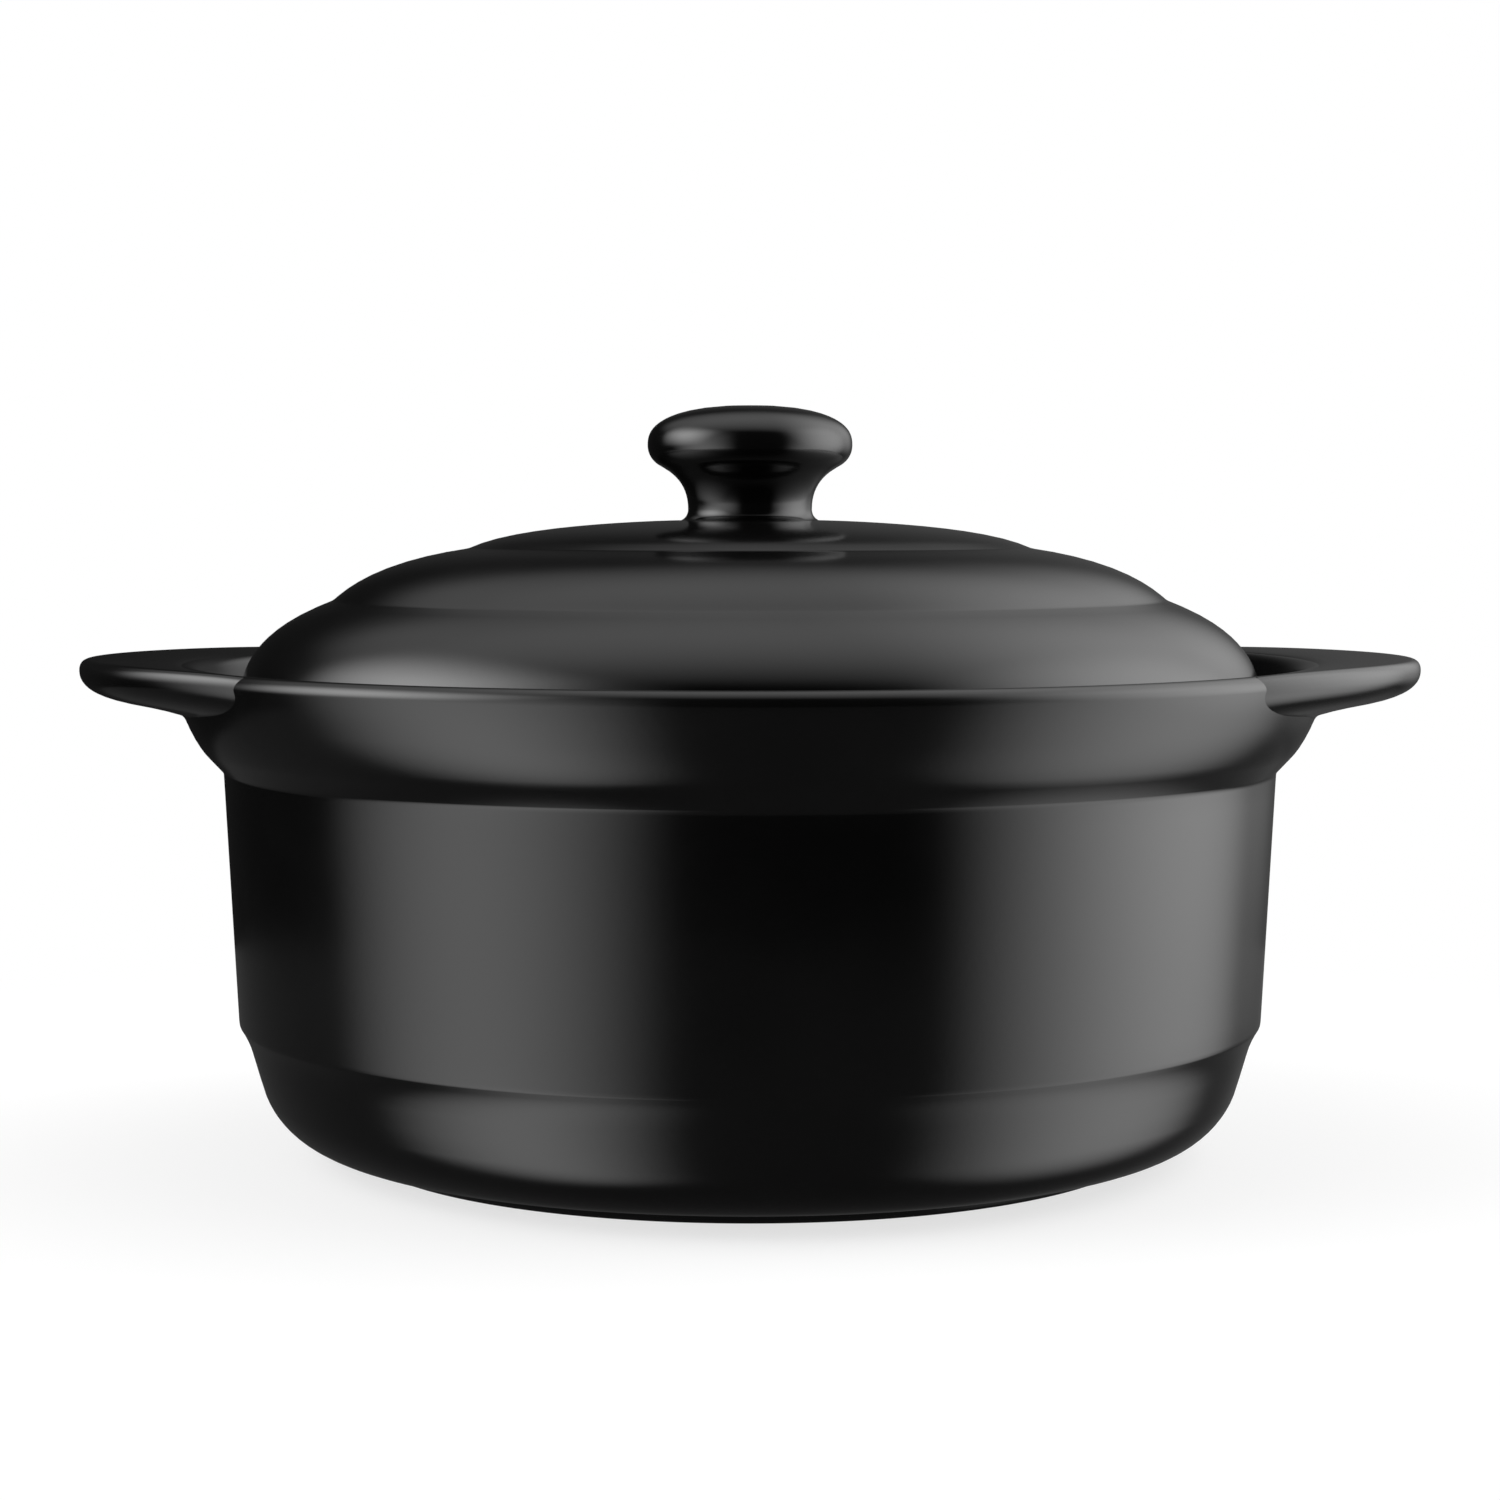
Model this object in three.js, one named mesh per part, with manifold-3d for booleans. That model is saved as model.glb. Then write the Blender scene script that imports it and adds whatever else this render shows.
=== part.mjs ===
// Ceramic casserole: a turned pot with a foot ring and a flared flange, two crescent lug handles
// luted to the flange, and a stepped domed lid with a turned knob.
// Millimetres, +Z up. The origin is the centre of the foot ring, on the surface the pot stands on.

import * as THREE from 'three';
import { mergeVertices } from 'three/addons/utils/BufferGeometryUtils.js';
import Module from 'manifold-3d';

// Facets
const POT_FACETS = 64;          // round the pot's axis, for the pot and the lid
const KNOB_FACETS = 40;
const HANDLE_FACETS = 36;       // along the handle's outer edge
const CURVE_STEPS = 4;          // along each curve of an outline
const KNOB_CROWN_STEPS = 7;

// Clearances
const SLIP_JOINT = 0.3;         // between a luted piece and what it is luted to
const LID_SEAT_GAP = 0.3;       // between the lid's seat and the ledge that carries it
const LID_SIDE_GAP = 7;         // between the lid's edge and the foot of the gallery's wall
const LOCATING_GAP = 1.2;       // between the lid's locating ring and the mouth

// Pot: radii of its outside, each given by the next one inwards or outwards
const NECK_RADIUS = 112.4;      // top of the straight wall, in the crease under the flange
const WALL_TAPER = 2.7;         // the wall is this much smaller at its foot
const STEP_DEPTH = 2.35;        // step between the wall and the lower band
const STEP_COVE_OUT = 1.1;      // the hollow of that step, from the top of the band
const BAND_DRAFT = THREE.MathUtils.degToRad(16);
const HEEL_ROUND = 17.4;
const FOOT_SETBACK = 4;         // the foot's outer edge stands in from where the heel begins
const FOOT_FLARE = 2;           // the foot ring widens this much up to the underside
const FOOT_WIDTH = 8;
const FLARE_OUT = 5;            // from the neck to the lower corner of the flange
const FLANGE_LEAN = 5.4;        // from that corner to the outside of the lip
const FLANGE_BULGE_OUT = 3.5;   // pull of the flange's swelling face, from its lower corner
const FLANGE_BULGE_UP = 7;
const FLANGE_ROUND_DOWN = 0.3;  // share of the flare that its rounded lower corner takes
const FLANGE_ROUND_UP = 0.5;    // share of the pull of the face above it

// Pot: heights of its outside, one on the other
const FOOT_HEIGHT = 2.7;
const BAND_HEIGHT = 21.4;       // heel and lower band together
const STEP_HEIGHT = 5.4;
const STEP_COVE_UP = 3.4;
const WALL_HEIGHT = 52.9;
const FLARE_HEIGHT = 5.3;
const FLANGE_HEIGHT = 17.3;     // from the flange's lower corner to the crest of the lip

// Pot: its inside
const WALL = 7.8;
const FLOOR = 7;
const FOOT_RECESS = 2.2;        // the underside inside the foot ring stands this high
const FOOT_RECESS_SLOPE = 1.5;
const INNER_ROUND = 22;
const LIP_THICKNESS = 5.3;
const GALLERY_DEPTH = 11;       // from the crest of the lip down to the ledge
const GALLERY_LEAN = 1.7;       // the gallery's wall comes in this much from the lip to the ledge
const GALLERY_ROUND = 1.5;
const MOUTH_ROUND = 1.5;

// Handles
const HANDLE_REACH = 20.5;      // from the outside of the lip to the nose
const HANDLE_LENGTH = 110;      // half axes of the ellipse that the handle is in plan
const HANDLE_HALF_WIDTH = 88.9;
const HANDLE_SWEEP = THREE.MathUtils.degToRad(120);     // part of that ellipse, its ends lying in the flange
const HANDLE_RISE = 1.1;        // the top climbs this much from the crest of the lip to the nose
const HANDLE_EDGE_ROUND = 2.5;
const HANDLE_NOSE_DROP = 2.5;   // from the top down to the nose
const HANDLE_ROLL_IN = 8.5;     // where the round of the nose ends under the handle
const HANDLE_ROLL_DROP = 8.1;
const HANDLE_ROLL_FULLNESS = 4.2;   // how far down the nose stays full before it turns under
const HANDLE_UNDER_SLOPE = 0.16;    // fall of the underside towards the flange

// Lid
const LID_EDGE_HEIGHT = 4.7;
const LID_EDGE_DRAFT = 0.6;
const SHOULDER_WIDTH = 19.6;
const SHOULDER_RISE = 19.3;
const SHOULDER_FULLNESS = 10;   // how far up the shoulder stays full before it turns in
const MIDDLE_WIDTH = 28.9;
const MIDDLE_RISE = 11.1;
const MIDDLE_KNUCKLE_IN = 8.9;  // where the steep foot of the tier turns to its gentle top
const MIDDLE_KNUCKLE_UP = 7.1;
const CROWN_RISE = 5.9;
const CROWN_KNUCKLE_IN = 10.3;
const CROWN_KNUCKLE_UP = 4.1;
const LID_WALL = 5.8;           // at the crown
const LOCATING_WIDTH = 5;
const LOCATING_DEPTH = 4;
const LOCATING_TAPER = 0.8;

// Knob
const KNOB_NECK_RADIUS = 13.3;
const KNOB_BASE_ROUND = 2.1;
const KNOB_SEAT_MARGIN = 1;     // flat of the crown outside the knob's base
const KNOB_NECK_HEIGHT = 9;     // from the base round up to the head
const KNOB_NECK_FULLNESS = 6.1;
const KNOB_UNDERCUT = 3;        // the head's widest line stands out this far past its underside
const KNOB_HEAD_OUT = 5.7;      // from the neck to where the head's underside begins
const KNOB_HEAD_RISE = 4.7;     // from there up to the widest line
const KNOB_HEAD_FULLNESS = 1.6;
const KNOB_CROWN_HEIGHT = 8.4;
const KNOB_CROWN_POWER = 2.4;   // a little squarer than an ellipse

// Levels and radii that several pieces share
const BAND_TOP = FOOT_HEIGHT + BAND_HEIGHT;
const STEP_TOP = BAND_TOP + STEP_HEIGHT;
const CREASE_LEVEL = STEP_TOP + WALL_HEIGHT;
const FLANGE_LEVEL = CREASE_LEVEL + FLARE_HEIGHT;
const RIM_LEVEL = FLANGE_LEVEL + FLANGE_HEIGHT;
const LEDGE_LEVEL = RIM_LEVEL - GALLERY_DEPTH;
const WALL_RADIUS = NECK_RADIUS - WALL_TAPER;
const BAND_RADIUS = WALL_RADIUS - STEP_DEPTH;
const FLANGE_RADIUS = NECK_RADIUS + FLARE_OUT;
const RIM_RADIUS = FLANGE_RADIUS + FLANGE_LEAN;
const LIP_ROUND = LIP_THICKNESS / 2;
const MOUTH_RADIUS = NECK_RADIUS - WALL;
const GALLERY_RADIUS = RIM_RADIUS - LIP_THICKNESS - GALLERY_LEAN;
const LID_SEAT_LEVEL = LEDGE_LEVEL + LID_SEAT_GAP;
const LID_EDGE_TOP = LID_SEAT_LEVEL + LID_EDGE_HEIGHT;
const CROWN_LEVEL = LID_EDGE_TOP + SHOULDER_RISE + MIDDLE_RISE + CROWN_RISE;
const KNOB_BASE_RADIUS = KNOB_NECK_RADIUS + KNOB_BASE_ROUND;

// Glaze
const BLACK_GLAZE = { color: 0x141414, roughness: 0.34, metalness: 0 };

const wasm = await Module();
wasm.setup();

// A closed geometry as a solid that can be cut
function toSolid(geometry) {
  const bare = geometry.clone();
  bare.deleteAttribute('normal');
  bare.deleteAttribute('uv');
  const merged = mergeVertices(bare, 1e-4);
  const mesh = new wasm.Mesh({
    numProp: 3,
    vertProperties: new Float32Array(merged.attributes.position.array),
    triVerts: new Uint32Array(merged.index.array),
  });
  return new wasm.Manifold(mesh);
}

// A cut solid as a geometry again
function toGeometry(solid) {
  const mesh = solid.getMesh();
  const geometry = new THREE.BufferGeometry();
  geometry.setAttribute('position', new THREE.BufferAttribute(mesh.vertProperties, 3));
  geometry.setIndex(new THREE.BufferAttribute(mesh.triVerts, 1));
  geometry.computeVertexNormals();
  return geometry;
}

// An outline in radius and height, turned round the Z axis
function turned(outline, facets) {
  return new THREE.LatheGeometry(outline, facets).rotateX(Math.PI / 2);
}

// Centre of the round between a level floor and a wall that leans out through a known point
function roundCentre(floor, round, wallRadius, wallLevel, lean) {
  const level = floor + round;
  const tangentLevel = level - round * Math.sin(lean);
  const tangentRadius = wallRadius - (wallLevel - tangentLevel) * Math.tan(lean);
  return new THREE.Vector2(tangentRadius - round * Math.cos(lean), level);
}

// The flange's outside from the crease up to the crest of the lip, grown outwards for a joint
function traceFlange(outline, grow) {
  const face = FLANGE_RADIUS + grow;
  outline.lineTo(NECK_RADIUS + grow, CREASE_LEVEL);
  outline.lineTo(face - FLARE_OUT * FLANGE_ROUND_DOWN, FLANGE_LEVEL - FLARE_HEIGHT * FLANGE_ROUND_DOWN);
  outline.quadraticCurveTo(face, FLANGE_LEVEL,
    face + FLANGE_BULGE_OUT * FLANGE_ROUND_UP, FLANGE_LEVEL + FLANGE_BULGE_UP * FLANGE_ROUND_UP);
  outline.quadraticCurveTo(face + FLANGE_BULGE_OUT, FLANGE_LEVEL + FLANGE_BULGE_UP,
    RIM_RADIUS + grow, RIM_LEVEL - LIP_ROUND);
  outline.absarc(RIM_RADIUS - LIP_ROUND, RIM_LEVEL - LIP_ROUND, LIP_ROUND + grow, 0, Math.PI / 2);
}

// The pot, from the middle of its underside out and up, over the lip and down to the middle of its floor
function potGeometry() {
  const outline = new THREE.Path();
  const heel = roundCentre(FOOT_HEIGHT, HEEL_ROUND, BAND_RADIUS, BAND_TOP, BAND_DRAFT);
  const footRadius = heel.x - FOOT_SETBACK;
  const footInside = footRadius - FOOT_WIDTH;
  outline.moveTo(0, FOOT_RECESS);
  outline.lineTo(footInside - FOOT_RECESS_SLOPE, FOOT_RECESS);
  outline.lineTo(footInside, 0);
  outline.lineTo(footRadius, 0);
  outline.lineTo(footRadius + FOOT_FLARE, FOOT_HEIGHT);
  outline.absarc(heel.x, heel.y, HEEL_ROUND, -Math.PI / 2, -BAND_DRAFT);
  outline.lineTo(BAND_RADIUS, BAND_TOP);
  outline.quadraticCurveTo(BAND_RADIUS + STEP_COVE_OUT, BAND_TOP + STEP_COVE_UP, WALL_RADIUS, STEP_TOP);
  traceFlange(outline, 0);

  // Over the lip and down the gallery to the ledge
  outline.absarc(RIM_RADIUS - LIP_ROUND, RIM_LEVEL - LIP_ROUND, LIP_ROUND, Math.PI / 2, Math.PI);
  outline.lineTo(GALLERY_RADIUS, LEDGE_LEVEL + GALLERY_ROUND);
  outline.lineTo(GALLERY_RADIUS - GALLERY_ROUND, LEDGE_LEVEL);
  outline.lineTo(MOUTH_RADIUS + MOUTH_ROUND, LEDGE_LEVEL);
  outline.quadraticCurveTo(MOUTH_RADIUS, LEDGE_LEVEL, MOUTH_RADIUS, LEDGE_LEVEL - MOUTH_ROUND);

  // Down the inside wall, which tapers with the outside, to the floor
  const innerLean = Math.atan(WALL_TAPER / (LEDGE_LEVEL - MOUTH_ROUND - STEP_TOP));
  const floorLevel = FOOT_RECESS + FLOOR;
  const inner = roundCentre(floorLevel, INNER_ROUND, WALL_RADIUS - WALL, STEP_TOP, innerLean);
  outline.absarc(inner.x, inner.y, INNER_ROUND, -innerLean, -Math.PI / 2, true);
  outline.lineTo(0, floorLevel);
  return turned(outline.getPoints(CURVE_STEPS), POT_FACETS);
}

// The lid, from the middle of its crown down over its three tiers, round the locating ring and back up inside
function lidGeometry() {
  const lidRadius = GALLERY_RADIUS - LID_SIDE_GAP;
  const shoulderRadius = lidRadius - SHOULDER_WIDTH;
  const shoulderTop = LID_EDGE_TOP + SHOULDER_RISE;
  const middleRadius = shoulderRadius - MIDDLE_WIDTH;
  const middleTop = shoulderTop + MIDDLE_RISE;
  const ringOuter = MOUTH_RADIUS - LOCATING_GAP;
  const ringInner = ringOuter - LOCATING_WIDTH;
  const ringFoot = LID_SEAT_LEVEL - LOCATING_DEPTH;

  const outline = new THREE.Path();
  outline.moveTo(0, CROWN_LEVEL);
  outline.lineTo(KNOB_BASE_RADIUS + KNOB_SEAT_MARGIN, CROWN_LEVEL);
  outline.quadraticCurveTo(middleRadius - CROWN_KNUCKLE_IN, middleTop + CROWN_KNUCKLE_UP,
    middleRadius, middleTop);
  outline.quadraticCurveTo(shoulderRadius - MIDDLE_KNUCKLE_IN, shoulderTop + MIDDLE_KNUCKLE_UP,
    shoulderRadius, shoulderTop);
  outline.quadraticCurveTo(lidRadius, LID_EDGE_TOP + SHOULDER_FULLNESS, lidRadius, LID_EDGE_TOP);
  outline.lineTo(lidRadius - LID_EDGE_DRAFT, LID_SEAT_LEVEL);
  outline.lineTo(ringOuter, LID_SEAT_LEVEL);
  outline.lineTo(ringOuter - LOCATING_TAPER, ringFoot);
  outline.lineTo(ringInner, ringFoot);
  outline.lineTo(ringInner, LID_EDGE_TOP);
  outline.bezierCurveTo(ringInner, shoulderTop - LID_WALL, middleRadius, CROWN_LEVEL - LID_WALL,
    0, CROWN_LEVEL - LID_WALL);
  return turned(outline.getPoints(CURVE_STEPS).reverse(), POT_FACETS);
}

// The knob, from the middle of its base up its waisted neck, out under the head and over the crown
function knobGeometry() {
  const base = CROWN_LEVEL + SLIP_JOINT;
  const neckFoot = base + KNOB_BASE_ROUND;
  const headFoot = neckFoot + KNOB_NECK_HEIGHT;
  const headRadius = KNOB_NECK_RADIUS + KNOB_HEAD_OUT + KNOB_UNDERCUT;
  const widest = headFoot + KNOB_HEAD_RISE;

  const outline = new THREE.Path();
  outline.moveTo(0, base);
  outline.lineTo(KNOB_BASE_RADIUS, base);
  outline.quadraticCurveTo(KNOB_NECK_RADIUS, base, KNOB_NECK_RADIUS, neckFoot);
  outline.quadraticCurveTo(KNOB_NECK_RADIUS, neckFoot + KNOB_NECK_FULLNESS,
    headRadius - KNOB_UNDERCUT, headFoot);
  outline.quadraticCurveTo(headRadius, headFoot + KNOB_HEAD_FULLNESS, headRadius, widest);
  for (let step = 1; step <= KNOB_CROWN_STEPS; step += 1) {
    const angle = (step / KNOB_CROWN_STEPS) * Math.PI / 2;
    const out = step < KNOB_CROWN_STEPS ? Math.cos(angle) ** (2 / KNOB_CROWN_POWER) : 0;
    const up = Math.sin(angle) ** (2 / KNOB_CROWN_POWER);
    outline.lineTo(headRadius * out, widest + KNOB_CROWN_HEIGHT * up);
  }
  return turned(outline.getPoints(CURVE_STEPS), KNOB_FACETS);
}

// Stacked arcs of the ellipse, each drawn in and dropped as the section of the handle says, and capped.
// What lies outside the crest of the lip is lifted with the climb of the top.
function lugGeometry(section, noseX, crestRadius) {
  const centreX = noseX - HANDLE_LENGTH;
  const ring = HANDLE_FACETS + 1;
  const corners = [];
  for (const { x: inset, y: drop } of section) {
    for (let i = 0; i < ring; i += 1) {
      const angle = HANDLE_SWEEP * (i / HANDLE_FACETS - 0.5);
      const x = centreX + (HANDLE_LENGTH - inset) * Math.cos(angle);
      const y = (HANDLE_HALF_WIDTH - inset) * Math.sin(angle);
      const outside = Math.max(Math.hypot(x, y) - crestRadius, 0);
      corners.push(x, y, RIM_LEVEL - drop + HANDLE_RISE * outside / (noseX - crestRadius));
    }
  }
  const faces = [];
  const last = (section.length - 1) * ring;
  for (let i = 1; i < ring - 1; i += 1) {
    faces.push(0, i, i + 1);
    faces.push(last, last + i + 1, last + i);
  }
  for (let layer = 0; layer < section.length - 1; layer += 1) {
    for (let i = 0; i < ring; i += 1) {
      const a = layer * ring + i;
      const b = layer * ring + (i + 1) % ring;
      faces.push(a, a + ring, b, b, a + ring, b + ring);
    }
  }
  const geometry = new THREE.BufferGeometry();
  geometry.setAttribute('position', new THREE.Float32BufferAttribute(corners, 3));
  geometry.setIndex(faces);
  return geometry;
}

// A crescent lug that leaves the crest of the lip, is full at its nose and is cut to seat on the flange
function handleGeometry() {
  const noseX = RIM_RADIUS + HANDLE_REACH;
  const crestRadius = RIM_RADIUS - LIP_ROUND;
  const rootInset = HANDLE_REACH + LIP_THICKNESS + HANDLE_ROLL_IN;
  const rootDrop = HANDLE_ROLL_DROP + (rootInset - HANDLE_ROLL_IN) * HANDLE_UNDER_SLOPE;
  const edge = new THREE.Path();
  edge.moveTo(noseX - crestRadius, 0);
  edge.lineTo(HANDLE_EDGE_ROUND, 0);
  edge.quadraticCurveTo(0, 0, 0, HANDLE_NOSE_DROP);
  edge.quadraticCurveTo(0, HANDLE_NOSE_DROP + HANDLE_ROLL_FULLNESS, HANDLE_ROLL_IN, HANDLE_ROLL_DROP);
  edge.lineTo(rootInset, rootDrop);
  const lug = lugGeometry(edge.getPoints(CURVE_STEPS), noseX, crestRadius);

  const seat = new THREE.Path();
  seat.moveTo(0, FOOT_HEIGHT);
  seat.lineTo(NECK_RADIUS, FOOT_HEIGHT);
  traceFlange(seat, SLIP_JOINT);
  seat.lineTo(0, RIM_LEVEL + SLIP_JOINT);
  const flange = turned(seat.getPoints(CURVE_STEPS), POT_FACETS);
  return toGeometry(toSolid(lug).subtract(toSolid(flange)));
}

function piece(name, geometry) {
  const mesh = new THREE.Mesh(geometry, new THREE.MeshStandardMaterial(BLACK_GLAZE));
  mesh.name = name;
  return mesh;
}

const pot = new THREE.Group();
pot.add(piece('pot_body', potGeometry()));
const handle = handleGeometry();
pot.add(piece('handle_right', handle));
const leftSide = new THREE.Group();
leftSide.rotation.z = Math.PI;
leftSide.add(piece('handle_left', handle));
pot.add(leftSide);

const lidWithKnob = new THREE.Group();
lidWithKnob.add(piece('lid', lidGeometry()));
lidWithKnob.add(piece('lid_knob', knobGeometry()));

const casserole = new THREE.Group();
casserole.add(pot, lidWithKnob);

export default casserole;
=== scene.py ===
# %% [markdown]
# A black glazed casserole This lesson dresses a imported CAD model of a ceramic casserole. On the maker's
# bench it is five pieces of clay: a turned pot, two crescent lugs stuck to its flange with slip, a turned
# lid and a turned knob. The CAD model is right in size but faceted, so each of its nodes is replaced here
# by a smooth glazed piece.

# %% Load the fixed frame
from math import atan2, cos, degrees, exp, hypot, pi, radians, sin, sqrt, tan

import bpy
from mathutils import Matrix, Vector


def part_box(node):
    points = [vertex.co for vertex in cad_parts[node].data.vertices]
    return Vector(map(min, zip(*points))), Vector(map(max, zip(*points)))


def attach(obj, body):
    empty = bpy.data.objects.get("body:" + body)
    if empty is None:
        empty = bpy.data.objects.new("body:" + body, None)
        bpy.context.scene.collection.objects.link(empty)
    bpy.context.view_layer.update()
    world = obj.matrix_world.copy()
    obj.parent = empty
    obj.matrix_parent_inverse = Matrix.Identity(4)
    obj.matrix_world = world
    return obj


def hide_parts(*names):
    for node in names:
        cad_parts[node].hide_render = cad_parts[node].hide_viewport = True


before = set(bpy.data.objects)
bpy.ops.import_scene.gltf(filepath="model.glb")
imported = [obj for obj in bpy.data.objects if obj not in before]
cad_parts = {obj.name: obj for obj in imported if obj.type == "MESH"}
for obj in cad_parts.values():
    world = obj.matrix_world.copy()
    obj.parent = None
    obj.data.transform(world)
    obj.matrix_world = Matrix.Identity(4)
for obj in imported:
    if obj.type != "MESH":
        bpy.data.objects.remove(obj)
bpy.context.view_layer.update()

# %% [markdown]
# Measures
# A potter works in millimetres and Blender in metres, so every outline below is written in millimetres and
# scaled once, when it becomes a mesh. What the frame already knows, such as the level of the rim or the
# reach of a handle, is read from the box of its node and not written a second time.

# %% Read the main measures from the frame
MM = 0.001


def corner_mm(node):
    """Reach from the axis along +X, lowest level and highest level of a CAD node, in millimetres."""
    low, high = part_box(node)
    return high.x / MM, low.z / MM, high.z / MM


RIM_RADIUS, TABLE_LEVEL, RIM_LEVEL = corner_mm("pot_body")
LID_RADIUS, RING_FOOT, CROWN_LEVEL = corner_mm("lid")
KNOB_RADIUS, KNOB_BASE, KNOB_TOP = corner_mm("lid_knob")
NOSE_REACH = corner_mm("handle_right")[0]
print(f"rim {RIM_RADIUS:.1f} at {RIM_LEVEL:.1f}, lid {LID_RADIUS:.1f}, "
      f"nose of the handle {NOSE_REACH:.1f} mm")

# %% [markdown]
# Drawing an outline
# Pot, lid and knob are all turned, so each is one half section swept round the axis. A half section is
# easier to think about as a pen path than as a list of points: a straight line, a bend towards a knuckle,
# a long sweep between two knuckles, or an arc. This small class is that pen.

# %% A pen for half sections
CURVE_POINTS = 24


class Outline:
    """A half section in millimetres: distance from the axis, and height above the table."""

    def __init__(self, radius, height):
        self.points = [Vector((radius, height))]

    def line(self, radius, height):
        self.points.append(Vector((radius, height)))

    def bend(self, knuckle, end):
        """A curve that leaves towards the knuckle and arrives from it."""
        a, b, c = self.points[-1], Vector(knuckle), Vector(end)
        for t in (i / CURVE_POINTS for i in range(1, CURVE_POINTS + 1)):
            self.points.append((1 - t) ** 2 * a + 2 * t * (1 - t) * b + t ** 2 * c)

    def sweep(self, first, second, end):
        """A longer curve with two knuckles."""
        a, b, c, d = self.points[-1], Vector(first), Vector(second), Vector(end)
        for t in (i / CURVE_POINTS for i in range(1, CURVE_POINTS + 1)):
            s = 1 - t
            self.points.append(s ** 3 * a + 3 * s * s * t * b + 3 * s * t * t * c + t ** 3 * d)

    def arc(self, centre, radius, start, stop):
        """A round, from one angle to another in degrees, counted from straight outwards."""
        for i in range(CURVE_POINTS + 1):
            angle = radians(start + (stop - start) * i / CURVE_POINTS)
            self.points.append(Vector(centre) + radius * Vector((cos(angle), sin(angle))))


# %% [markdown]
# What a coat of glaze does to an outline
# Molten glaze rounds every edge and fills every hollow, so a fired pot has no corner as sharp as its
# drawing. A Bevel modifier would need each edge picked by hand. Here the outline is walked in even short
# steps, and each point is drawn a few times towards the middle of its neighbours, which rounds all corners
# by about the glaze's own thickness. Then points are dropped where the line is nearly straight.

# %% Round an outline as glaze does
STRIDE = 0.4            # mm between points while the outline is rounded
SAME_PLACE = 1e-6       # mm under which two points are one
SHARPEST_TURN = 4.5     # degrees between two kept points
LONGEST_RUN = 4.0       # mm between two kept points


def even_steps(points):
    """The same path with a point at every stride."""
    walked = [points[0]]
    for here, there in zip(points, points[1:]):
        length = (there - here).length
        if length > SAME_PLACE:
            count = max(1, round(length / STRIDE))
            walked += [here.lerp(there, i / count) for i in range(1, count + 1)]
    return walked


def thinned(points):
    """The points that are needed to follow the path."""
    kept, turned, run = [points[0]], 0.0, 0.0
    for before, here, after in zip(points, points[1:], points[2:]):
        turned += degrees((here - before).angle(after - here, 0.0))
        run += (here - before).length
        if turned > SHARPEST_TURN or run > LONGEST_RUN:
            kept.append(here)
            turned = run = 0.0
    return kept + [points[-1]]


def glaze_over(outline, spread):
    """The outline with its corners rounded over about that many millimetres, and its two ends held."""
    points = even_steps(outline.points)
    for _ in range(round(2 * (spread / STRIDE) ** 2)):
        inner = [(a + 2 * b + c) / 4 for a, b, c in zip(points, points[1:], points[2:])]
        points = [points[0]] + inner + [points[-1]]
    return points


# %% [markdown]
# Turning a piece
# The Spin operator is Blender's potter's wheel. A plane is added and merged to one vertex, that vertex is
# extruded along the outline, and the line is spun round the Z axis. A Screw modifier could do the same, but
# the spin is done once and leaves a plain mesh. Spinning leaves double points on the axis and along the
# seam, so these are merged, and only then are the normals turned outwards.

# %% The wheel
MERGE_REACH = 0.01 * MM


def draw_line(name, points):
    """A new piece, in edit mode, whose mesh is a line through the points in the XZ plane."""
    bpy.ops.object.select_all(action="DESELECT")
    bpy.ops.mesh.primitive_plane_add(size=MM, location=(0, 0, 0))
    piece = bpy.context.object
    piece.name = piece.data.name = name
    bpy.ops.object.mode_set(mode="EDIT")
    bpy.ops.mesh.merge(type="CENTER")
    places = [Vector((p.x, 0, p.y)) * MM for p in points]
    bpy.ops.transform.translate(value=places[0])
    for here, there in zip(places, places[1:]):
        bpy.ops.mesh.extrude_vertices_move(TRANSFORM_OT_translate={"value": there - here})
    bpy.ops.mesh.select_all(action="SELECT")
    return piece


def close_skin():
    """Merge the double points of the piece in edit mode, turn its faces outwards and smooth it."""
    bpy.ops.mesh.select_all(action="SELECT")
    bpy.ops.mesh.remove_doubles(threshold=MERGE_REACH)
    bpy.ops.mesh.dissolve_degenerate(threshold=MERGE_REACH)
    bpy.ops.mesh.select_all(action="SELECT")
    bpy.ops.mesh.normals_make_consistent(inside=False)
    bpy.ops.object.mode_set(mode="OBJECT")
    bpy.ops.object.shade_smooth()


def turn(name, points, facets):
    """A closed piece turned round the Z axis from its half section."""
    piece = draw_line(name, points)
    bpy.ops.mesh.spin(steps=facets, angle=2 * pi, center=(0, 0, 0), axis=(0, 0, 1), use_auto_merge=True)
    close_skin()
    print(f"{name}: {len(points)} points turned in {facets} facets, {len(piece.data.polygons)} faces")
    return piece


# %% [markdown]
# The pot
# The pot stands on a low foot ring. Above it the heel is a big round, then come a lower band, a hollow
# step, a wall that widens a little upwards, a crease, and a flange that swells out to a half-round lip.
# Inside the lip is the gallery, a ledge that carries the lid, and below it the wall and floor of the cavity.
# It could be lofted from circles, but one outline from the middle of the underside to the middle of the
# floor keeps every level in one place and gives one closed skin.

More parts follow.
